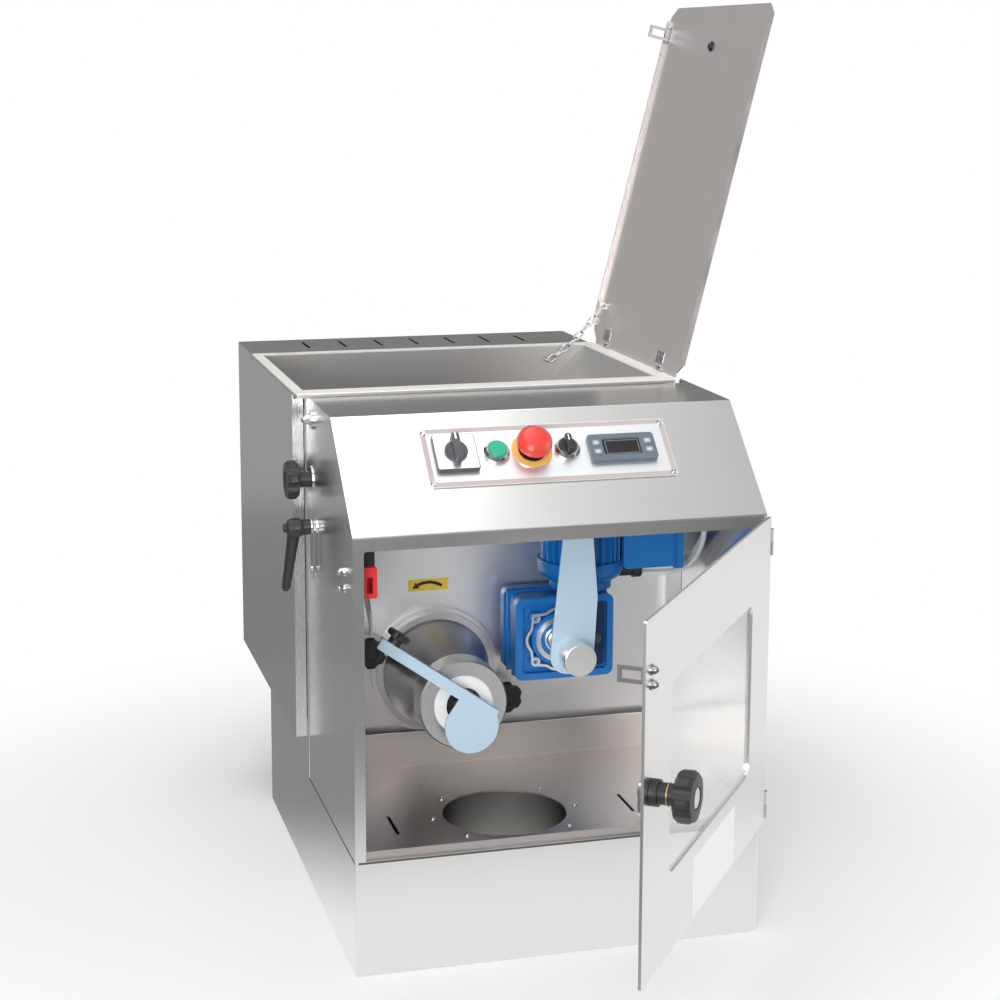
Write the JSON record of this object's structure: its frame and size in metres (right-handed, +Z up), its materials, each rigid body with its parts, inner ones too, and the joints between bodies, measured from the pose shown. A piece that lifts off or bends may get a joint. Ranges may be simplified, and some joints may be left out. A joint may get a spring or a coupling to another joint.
{
  "type": "dough divider",
  "caption": "Table-top dough divider: hopper with hinged lid, feed screw, nozzle, rotating knife and portion gauge in a stainless hood with a windowed door and sloping control panel.",
  "frame": {"origin": "centre of the underside of the plinth, on the table", "axes": "+X to the machine's right seen from the front, +Y towards its rear, +Z up"},
  "size_m": [0.632, 1.119, 1.0573],
  "materials": {
    "stainless": "satin",
    "stainless_bright": "polished",
    "turned_steel": "machined",
    "fasteners": "polished",
    "blue_paint": "semi-gloss",
    "pale_blue_paint": "semi-gloss",
    "gear_flange": "machined",
    "black_plastic": "matte",
    "white_plastic": "matte",
    "cable_sheath": "matte",
    "red_plastic": "matte",
    "stop_red": "gloss",
    "start_green": "gloss",
    "label_silver": "satin",
    "grey_plastic": "matte",
    "key_grey": "matte",
    "window": "clear"
  },
  "bodies": {
    "frame": {"base_plinth": "stainless_bright", "floor_plate": "stainless", "drop_chute": "stainless", "hood_shell": "stainless_bright", "dividing_wall": "stainless", "rear_casing": "stainless_bright", "rear_floor": "stainless", "hopper": "stainless", "feed_barrel": "turned_steel", "nozzle_cone": "turned_steel", "nozzle_collar": "turned_steel", "nozzle_insert": "white_plastic", "knife_gearbox": "blue_paint", "knife_gear_flange": "gear_flange", "knife_motor": "blue_paint", "knife_terminal_box": "blue_paint", "cable_gland": "black_plastic", "motor_leads": "cable_sheath", "electrics_tray": "stainless", "feed_gearbox": "blue_paint", "feed_motor": "blue_paint", "side_fasteners": "fasteners", "door_switch": "red_plastic", "lid_switch": "red_plastic", "label_plate": "label_silver", "panel_screws": "fasteners", "main_switch_plate": "label_silver", "button_bezels": "fasteners", "controller_body": "grey_plastic", "door_hinges": "stainless", "lid_hinges": "stainless", "lid_chain": "fasteners"},
    "feed": {"feed_screw": "turned_steel"},
    "knife": {"knife_shaft": "turned_steel", "knife_blade": "pale_blue_paint"},
    "gauge": {"gauge_strip": "stainless"},
    "gauge_slider": {"gauge_arm": "pale_blue_paint"},
    "gauge_nut": {"gauge_knob": "black_plastic"},
    "lever": {"clamp_lever": "black_plastic"},
    "ring": {"hanging_ring": "fasteners"},
    "star": {"side_knob": "black_plastic"},
    "nozzle_left": {"nozzle_knob_left": "black_plastic"},
    "nozzle_right": {"nozzle_knob_right": "black_plastic"},
    "main_switch": {"main_switch_knob": "black_plastic"},
    "start": {"start_button": "start_green"},
    "stop_rod": {"estop_stem": "stop_red"},
    "stop": {"estop_button": "stop_red"},
    "selector": {"selector_knob": "black_plastic"},
    "key_one": {"controller_key_1": "key_grey"},
    "key_two": {"controller_key_2": "key_grey"},
    "key_three": {"controller_key_3": "key_grey"},
    "key_four": {"controller_key_4": "key_grey"},
    "door": {"door_panel": "stainless_bright", "door_window": "window", "door_key": "fasteners"},
    "latch": {"door_knob": "black_plastic", "latch_tongue": "stainless"},
    "lid": {"lid_panel": "stainless", "lid_key": "fasteners", "lid_handle": "black_plastic"}
  },
  "joints": [
    {"name": "lid_hinge", "type": "hinge", "parent": "frame", "child": "lid", "pos_m": [0.221, -0.285, 0.608], "axis": [0, 1, 0], "range_deg": [-104.1, 0], "deforming": ["lid_chain"]},
    {"name": "door_hinge", "type": "hinge", "parent": "frame", "child": "door", "pos_m": [0.239, -0.287, 0.311], "axis": [0, 0, 1], "range_deg": [-53.2, 60]},
    {"name": "door_latch", "type": "hinge", "parent": "door", "child": "latch", "pos_m": [-0.02977, -0.64293, 0.321], "axis": [-0.8007, 0.599, 0], "range_deg": [0, 90]},
    {"name": "knife_spin", "type": "hinge", "parent": "frame", "child": "knife", "pos_m": [0.048, -0.165, 0.31], "axis": [0, 1, 0], "continuous": true},
    {"name": "feed_spin", "type": "hinge", "parent": "frame", "child": "feed", "pos_m": [-0.0815, -0.017, 0.257], "axis": [0, 1, 0], "continuous": true},
    {"name": "gauge_swing", "type": "hinge", "parent": "frame", "child": "gauge", "pos_m": [-0.235, -0.072, 0.457], "axis": [1, 0, 0], "range_deg": [-18, 0]},
    {"name": "gauge_slide", "type": "slide", "parent": "gauge", "child": "gauge_slider", "axis": [0.8151, 0, -0.5793], "range_m": [-0.01, 0.01]},
    {"name": "gauge_knob_turn", "type": "hinge", "parent": "gauge", "child": "gauge_nut", "pos_m": [-0.16696, -0.173, 0.33973], "axis": [0.5793, 0, 0.8151], "range_deg": [0, 180]},
    {"name": "clamp_lever_turn", "type": "hinge", "parent": "gauge", "child": "lever", "pos_m": [-0.235, -0.072, 0.457], "axis": [1, 0, 0], "range_deg": [-60, 60]},
    {"name": "hanging_ring_swing", "type": "hinge", "parent": "frame", "child": "ring", "pos_m": [-0.235, -0.072, 0.457], "axis": [1, 0, 0], "range_deg": [-25, 25]},
    {"name": "side_knob_turn", "type": "hinge", "parent": "frame", "child": "star", "pos_m": [-0.235, -0.044, 0.5075], "axis": [1, 0, 0], "range_deg": [0, 180]},
    {"name": "nozzle_knob_left_turn", "type": "hinge", "parent": "frame", "child": "nozzle_left", "pos_m": [-0.16587, -0.035, 0.29109], "axis": [0, 1, 0], "range_deg": [0, 180]},
    {"name": "nozzle_knob_right_turn", "type": "hinge", "parent": "frame", "child": "nozzle_right", "pos_m": [0.00287, -0.035, 0.22291], "axis": [0, 1, 0], "range_deg": [0, 180]},
    {"name": "main_switch_turn", "type": "hinge", "parent": "frame", "child": "main_switch", "pos_m": [-0.105, -0.21144, 0.56103], "axis": [0, -0.6788, 0.7343], "range_deg": [-90, 0]},
    {"name": "start_press", "type": "slide", "parent": "frame", "child": "start", "axis": [0, 0.6788, -0.7343], "range_m": [0, 0.004], "stiffness_N_per_m": 300},
    {"name": "stop_press", "type": "slide", "parent": "frame", "child": "stop_rod", "axis": [0, 0.6788, -0.7343], "range_m": [0, 0.005], "stiffness_N_per_m": 800},
    {"name": "stop_twist", "type": "hinge", "parent": "stop_rod", "child": "stop", "pos_m": [-0.0175, -0.22298, 0.57352], "axis": [0, -0.6788, 0.7343], "range_deg": [0, 45], "stiffness_Nm_per_rad": 0.05},
    {"name": "selector_turn", "type": "hinge", "parent": "frame", "child": "selector", "pos_m": [0.0233, -0.21144, 0.56103], "axis": [0, -0.6788, 0.7343], "range_deg": [-45, 45]},
    {"name": "controller_key_1_press", "type": "slide", "parent": "frame", "child": "key_one", "axis": [0, 0.6788, -0.7343], "range_m": [0, 0.0008], "stiffness_N_per_m": 400},
    {"name": "controller_key_2_press", "type": "slide", "parent": "frame", "child": "key_two", "axis": [0, 0.6788, -0.7343], "range_m": [0, 0.0008], "stiffness_N_per_m": 400},
    {"name": "controller_key_3_press", "type": "slide", "parent": "frame", "child": "key_three", "axis": [0, 0.6788, -0.7343], "range_m": [0, 0.0008], "stiffness_N_per_m": 400},
    {"name": "controller_key_4_press", "type": "slide", "parent": "frame", "child": "key_four", "axis": [0, 0.6788, -0.7343], "range_m": [0, 0.0008], "stiffness_N_per_m": 400}
  ]
}
